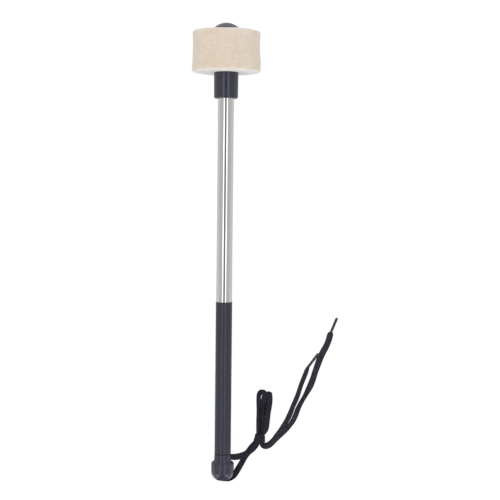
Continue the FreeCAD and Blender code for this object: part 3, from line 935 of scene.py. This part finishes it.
lean = Vector((0, 0, 1)).rotation_difference(axis).to_matrix().to_4x4()
stick_place = Matrix.Translation(tip) @ lean
vertices = []
for sector in range(FELT_SECTORS):
    angle = 2 * math.pi * sector / FELT_SECTORS
    out = Vector((math.cos(angle), math.sin(angle), 0))
    for (radius, station), (normal_r, normal_s) in zip(profile, outward):
        place = out * radius + Vector((0, 0, station))
        normal = out * normal_r + Vector((0, 0, normal_s))
        broad = noise.noise(place * BROAD_SCALE)
        wool = noise.fractal(place * WOOL_SCALE, *WOOL_FRACTAL)
        held = min(1.0, max(0.0, (radius - HELD_FROM) / HELD_REACH))
        low = math.exp(-((station - FELT_START - SWELLING_STATION) / SWELLING_REACH) ** 2)
        turned_to = max(0.0, math.cos(angle)) ** SWELLING_POWER
        place = place + out * SWELLING * low * turned_to * held
        place = place + normal * (BROAD_RELIEF * broad * held + WOOL_RELIEF * wool * held)
        vertices.append(stick_place @ place)
count = len(profile)
faces = []
for sector in range(FELT_SECTORS):
    here, there = sector * count, (sector + 1) % FELT_SECTORS * count
    for k in range(count):
        j = (k + 1) % count
        faces.append((here + k, there + k, there + j, here + j))
felt_mesh = bpy.data.meshes.new("felt_body")
felt_mesh.from_pydata(vertices, [], faces)
felt_mesh.polygons.foreach_set("use_smooth", np.ones(len(faces), bool))
felt_mesh.update()
print("felt body has", len(faces), "faces")

# %% [markdown]
# One attribute marks the pressed ends and the top rim, which are paler: partly the smoother skin
# of pressed felt, partly painted light on the ends and the rounded top edge. The other says how
# much
# loose wool grows: none where cap, collar and bore hide the felt, little on the pressed ends.

# %% Attributes of the felt
END_FROM = 0.45
RIM_PALE_AND_LIT = 0.55
RIM_REACH = 0.0013
CAP_REACH = 0.0113
COLLAR_REACH = 0.0094
BORE_REACH = 0.001
END_DEPTH = 0.0005
END_THINNING = 0.85

flat = np.abs(outward[:, 1])
facing_ends = np.clip((flat - END_FROM) / (1.0 - END_FROM), 0, 1)
facing_ends = facing_ends ** 2 * (3 - 2 * facing_ends)
# Painted light along the top rim, mixed with the pressed felt's paler tone.
top_rim = RIM_PALE_AND_LIT * np.exp(-(np.maximum(felt_end - profile[:, 1], 0) / RIM_REACH) ** 2)
flatness = felt_mesh.attributes.new("flatness", "FLOAT", "POINT")
flatness.data.foreach_set("value", np.tile(np.maximum(facing_ends, top_rim), FELT_SECTORS))
on_top = (profile[:, 1] > felt_end - END_DEPTH) & (profile[:, 0] < CAP_REACH)
underneath = (profile[:, 1] < FELT_START + END_DEPTH) & (profile[:, 0] < COLLAR_REACH)
hidden = on_top | underneath | (profile[:, 0] < FELT_BORE + BORE_REACH)
woolliness = (1.0 - hidden) * (1.0 - END_THINNING * flat ** 2)
bare = felt_mesh.attributes.new("bare", "FLOAT", "POINT")
bare.data.foreach_set("value", np.tile(woolliness, FELT_SECTORS))

# %% [markdown]
# Wool felt is cream with warmer patches where the fibres lie deeper, and pale and a little grey
# at its pressed rims, partly its own tone and partly painted light. Loose fibres scatter light at
# the edges, which the sheen stands for.

# %% Felt finish
CREAM = (0.790, 0.682, 0.568)
WARM_CREAM = (0.728, 0.586, 0.432)
STRAND_CREAM = (0.86, 0.79, 0.70)
PRESSED_AND_LIT_CREAM = (0.90, 0.865, 0.815)
PATCH_WEIGHT = 0.6
BROAD_WEIGHT = 0.4
WARM_EDGE = (0.36, 0.64)
STRAND_EDGE = (0.35, 0.70)
STRAND_WEIGHT = 0.26

felt, tree, shader = new_finish("wool_felt", Roughness=0.95, IOR=1.35, Specular_IOR_Level=0.3)
shader.inputs["Sheen Weight"].default_value = 0.75
shader.inputs["Sheen Roughness"].default_value = 0.6
where = add(tree, "ShaderNodeTexCoord").outputs["Object"]
lying = add(tree, "ShaderNodeMapping", {"Vector": where, "Scale": (0.55, 1.5, 0.55)}).outputs[0]
patches = noise_level(tree, lying, Scale=330.0, Detail=5.0, Roughness=0.65, Distortion=0.4)
broad = noise_level(tree, where, Scale=75.0, Detail=2.0)
strands = noise_level(tree, lying, Scale=1500.0, Detail=4.0, Roughness=0.7, Distortion=1.2)
mottle = maths(tree, "MULTIPLY_ADD", patches, PATCH_WEIGHT,
               times(tree, broad, BROAD_WEIGHT))
warm = smooth_step(tree, mottle, *WARM_EDGE)
tones = colour_mix(tree, warm, CREAM, WARM_CREAM)
lighter = smooth_step(tree, strands, *STRAND_EDGE)
woolly = colour_mix(tree, times(tree, lighter, STRAND_WEIGHT), tones, STRAND_CREAM)
flat = add(tree, "ShaderNodeAttribute", attribute_name="flatness").outputs["Fac"]
# Pressed ends and top rim: partly the felt's own paler skin, partly painted light.
pressed = colour_mix(tree, flat, woolly, PRESSED_AND_LIT_CREAM)
tree.links.new(pressed, shader.inputs["Base Color"])
bump(tree, shader, strands, strength=0.5, distance=0.00012)
print("finish", felt.name, "has", len(tree.nodes), "nodes")

# %% Felt body
felt_head = new_piece("felt_body", felt_mesh, felt)
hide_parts("felt_head")

# %% [markdown]
# Loose wool fibres lie over the pressed felt, and a few stand off it. They all follow one rule, so
# Geometry Nodes make them: points are scattered over the bare faces, one bent fibre of even
# thickness is placed on each, turned any way in the surface and lifted a little by chance, and all
# are made real. The seed is fixed, so the same nap grows each time. Particle hair could do it too,
# but hair isn't a mesh, and these fibres have to go with the exported part.

# %% Tree that grows the nap
NAP = {"Density": 0.86e6, "Length": 0.0019, "Thickness": 0.000032, "Lift": 0.32, "Seed": 11}
ROOT_HEIGHT = -0.00004
ARCH_HEIGHT = 0.00034
END_HEIGHT = 0.00001
ARCH_SIDEWAYS = 0.35
LIFT_POWER = 3.0
SIZE_RANGE = (0.5, 1.25)


def nap_tree(finish):
    """Fibres on the faces of the mesh that comes in, as many as the attribute "bare" allows."""
    tree = bpy.data.node_groups.new("felt_nap", "GeometryNodeTree")
    tree.interface.new_socket("Geometry", in_out="INPUT", socket_type="NodeSocketGeometry")
    for name, value in NAP.items():
        kind = "NodeSocketInt" if isinstance(value, int) else "NodeSocketFloat"
        tree.interface.new_socket(name, in_out="INPUT", socket_type=kind)
    tree.interface.new_socket("Geometry", in_out="OUTPUT", socket_type="NodeSocketGeometry")
    given = add(tree, "NodeGroupInput").outputs
    bare = add(tree, "GeometryNodeInputNamedAttribute", {"Name": "bare"}, data_type="FLOAT")
    density = times(tree, bare.outputs["Attribute"], given["Density"])
    points = add(tree, "GeometryNodeDistributePointsOnFaces",
                 {"Mesh": given["Geometry"], "Density": density, "Seed": given["Seed"]},
                 distribute_method="RANDOM")

    half = times(tree, given["Length"], 0.5)
    root = add(tree, "ShaderNodeCombineXYZ",
               {"X": times(tree, half, -1.0), "Z": ROOT_HEIGHT})
    bend = add(tree, "ShaderNodeCombineXYZ",
               {"Y": times(tree, half, ARCH_SIDEWAYS), "Z": ARCH_HEIGHT})
    end = add(tree, "ShaderNodeCombineXYZ", {"X": half, "Z": END_HEIGHT})
    line = add(tree, "GeometryNodeCurveQuadraticBezier",
               {"Resolution": 3, "Start": root.outputs[0], "Middle": bend.outputs[0],
                "End": end.outputs[0]})
    ring = add(tree, "GeometryNodeCurvePrimitiveCircle",
               {"Resolution": 3, "Radius": given["Thickness"]})
    fibre = add(tree, "GeometryNodeCurveToMesh",
                {"Curve": line.outputs["Curve"], "Profile Curve": ring.outputs["Curve"],
                 "Fill Caps": True})

    chance = add(tree, "FunctionNodeRandomValue", {8: given["Seed"]}, data_type="FLOAT")
    rare = maths(tree, "POWER", chance.outputs[1], LIFT_POWER)
    lift = times(tree, times(tree, rare, given["Lift"]), -1.0)
    turn = add(tree, "FunctionNodeRandomValue",
               {2: 0.0, 3: 2 * math.pi, 8: maths(tree, "ADD", given["Seed"], 1.0)},
               data_type="FLOAT")
    swing = add(tree, "ShaderNodeCombineXYZ", {"Y": lift, "Z": turn.outputs[1]})
    aimed = add(tree, "FunctionNodeRotateRotation",
                {"Rotation": points.outputs["Rotation"],
                 "Rotate By": add(tree, "FunctionNodeEulerToRotation",
                                  {0: swing.outputs[0]}).outputs[0]},
                rotation_space="LOCAL")
    size = add(tree, "FunctionNodeRandomValue",
               {2: SIZE_RANGE[0], 3: SIZE_RANGE[1], 8: maths(tree, "ADD", given["Seed"], 2.0)},
               data_type="FLOAT")
    placed = add(tree, "GeometryNodeInstanceOnPoints",
                 {"Points": points.outputs["Points"], "Instance": fibre.outputs["Mesh"],
                  "Rotation": aimed.outputs[0], "Scale": size.outputs[1]})
    real = add(tree, "GeometryNodeRealizeInstances", {"Geometry": placed.outputs["Instances"]})
    dressed = add(tree, "GeometryNodeSetMaterial",
                  {"Geometry": real.outputs["Geometry"], "Material": finish})
    add(tree, "NodeGroupOutput", {"Geometry": dressed.outputs["Geometry"]})
    return tree


# %% Wool fibre finish
TUFT_EDGE = (0.35, 0.65)

fibre_wool, tree, shader = new_finish("wool_fibre", Roughness=0.85, IOR=1.4)
shader.inputs["Sheen Weight"].default_value = 0.3
where = add(tree, "ShaderNodeTexCoord").outputs["Object"]
tufts = noise_level(tree, where, Scale=420.0, Detail=3.0)
tinted(tree, shader, smooth_step(tree, tufts, *TUFT_EDGE),
       (0.80, 0.71, 0.60), (0.92, 0.88, 0.82))

# %% Nap
grower = new_object("nap_grower", felt_mesh.copy())
growth = grower.modifiers.new("nap", "NODES")
growth.node_group = nap_tree(fibre_wool)
for item in growth.node_group.interface.items_tree:
    if item.item_type == "SOCKET" and item.in_out == "INPUT" and item.name in NAP:
        growth[item.identifier] = NAP[item.name]
bpy.context.view_layer.update()
grown = grower.evaluated_get(bpy.context.evaluated_depsgraph_get())
nap_mesh = bpy.data.meshes.new_from_object(grown)
nap_mesh.name = "felt_nap"
grower.modifiers.remove(growth)
bpy.data.objects.remove(grower)
new_piece("felt_nap", nap_mesh, fibre_wool)
nap_mesh.calc_loop_triangles()
print("nap has", len(nap_mesh.loop_triangles), "triangles")
